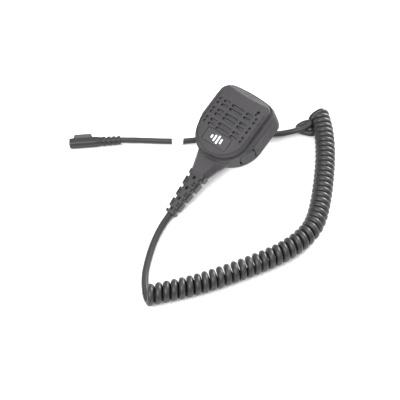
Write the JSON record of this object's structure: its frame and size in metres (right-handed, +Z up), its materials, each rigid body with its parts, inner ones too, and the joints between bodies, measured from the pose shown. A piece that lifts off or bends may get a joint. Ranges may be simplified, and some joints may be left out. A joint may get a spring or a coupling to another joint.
{
  "type": "hand microphone",
  "caption": "Radio speaker microphone: shield-shaped handset with slotted grille, push-to-talk side button, swivel clip, ribbed strain relief, curly cord and flat side plug.",
  "frame": {"origin": "on the table, under the middle of the bounding box of the handset with its clip and strain relief, the cord and what is on it left out", "axes": "+X to the handset's right seen from its front, +Y the way its top points along the table, +Z up; the handset lies on its clip and strain relief, leaning back by 18 degrees, face up"},
  "size_m": [0.2225, 0.2376, 0.0547],
  "materials": {
    "housing": "moulded ABS, fine spark texture",
    "housing_panel": "moulded ABS, fine spark texture",
    "label_plastic": "moulded, fine texture",
    "white_ink": "pad-printed white",
    "mesh_cloth": "woven acoustic cloth",
    "black_rubber": "moulded rubber",
    "soft_rubber": "moulded soft rubber",
    "relief_rubber": "moulded PVC, satin",
    "plug_rubber": "overmoulded PVC, satin",
    "plug_insulator": "moulded glass-filled nylon",
    "gold_contact": "gold-plated brass",
    "cord_jacket": "extruded polyurethane, satin",
    "zinc_steel": "zinc-plated steel",
    "pressed_steel": "pressed steel",
    "clip_steel": "black powder-coated steel",
    "spring_steel": "drawn spring wire",
    "ferrite": "sintered ferrite",
    "copper_wire": "enamelled copper",
    "paper_cone": "pressed paper",
    "foam_black": "closed-cell foam",
    "aluminium_can": "drawn can",
    "board_green": "glass-epoxy laminate with solder mask",
    "chip_black": "moulded",
    "paper_label": "matt paper, blank"
  },
  "bodies": {
    "handset": {"front_cover": "housing", "rear_cover": "housing", "front_panel": "housing_panel", "label_plate": "label_plastic", "label_mark": "white_ink", "grille_mesh": "mesh_cloth", "cover_gasket": "black_rubber", "case_screws": "zinc_steel", "speaker_basket": "pressed_steel", "speaker_magnet": "ferrite", "voice_coil": "copper_wire", "speaker_cone": "paper_cone", "dust_cap": "paper_cone", "speaker_surround": "paper_cone", "speaker_gasket": "foam_black", "speaker_clamps": "pressed_steel", "mic_capsule": "aluminium_can", "mic_boot": "black_rubber", "circuit_board": "board_green", "board_components": "chip_black", "board_screws": "zinc_steel", "ptt_seal": "black_rubber", "ptt_switch": "chip_black", "audio_jack": "chip_black", "strain_relief": "relief_rubber", "inner_cable": "cord_jacket", "cable_clamp": "chip_black", "inner_wires": "copper_wire", "clip_bush": "zinc_steel", "clip_washer": "zinc_steel", "clip_screw": "zinc_steel", "cord_lead": "cord_jacket", "cord_coil": "cord_jacket", "cord_loop": "cord_jacket", "cord_tail": "cord_jacket", "tail_label": "paper_label", "plug_relief": "relief_rubber", "plug_body": "plug_rubber", "plug_face": "plug_insulator", "plug_pins": "gold_contact"},
    "ptt": {"ptt_button": "soft_rubber", "ptt_key": "chip_black", "switch_stem": "chip_black"},
    "jack_flap": {"jack_cover": "soft_rubber"},
    "clip_base": {"clip_frame": "clip_steel", "clip_pin": "zinc_steel", "clip_spring": "spring_steel"},
    "jaw": {"clip_jaw": "clip_steel"}
  },
  "joints": [
    {"name": "ptt_press", "type": "slide", "parent": "handset", "child": "ptt", "axis": [1, 0, 0], "range_m": [0, 0.0009], "stiffness_N_per_m": 4000, "springref_m": -0.0005},
    {"name": "jack_cover_hinge", "type": "hinge", "parent": "handset", "child": "jack_flap", "pos_m": [0.02702, 0.01856, 0.02948], "axis": [-0.142, -0.2437, 0.9594], "range_deg": [0, 95]},
    {"name": "clip_swivel", "type": "hinge", "parent": "handset", "child": "clip_base", "pos_m": [0, 0.025, 0.01738], "axis": [0, -0.309, 0.9511], "continuous": true},
    {"name": "clip_open", "type": "hinge", "parent": "clip_base", "child": "jaw", "pos_m": [0, 0.02809, 0.00787], "axis": [1, 0, 0], "range_deg": [0, 22], "stiffness_Nm_per_rad": 0.25, "springref_deg": -34.38}
  ]
}
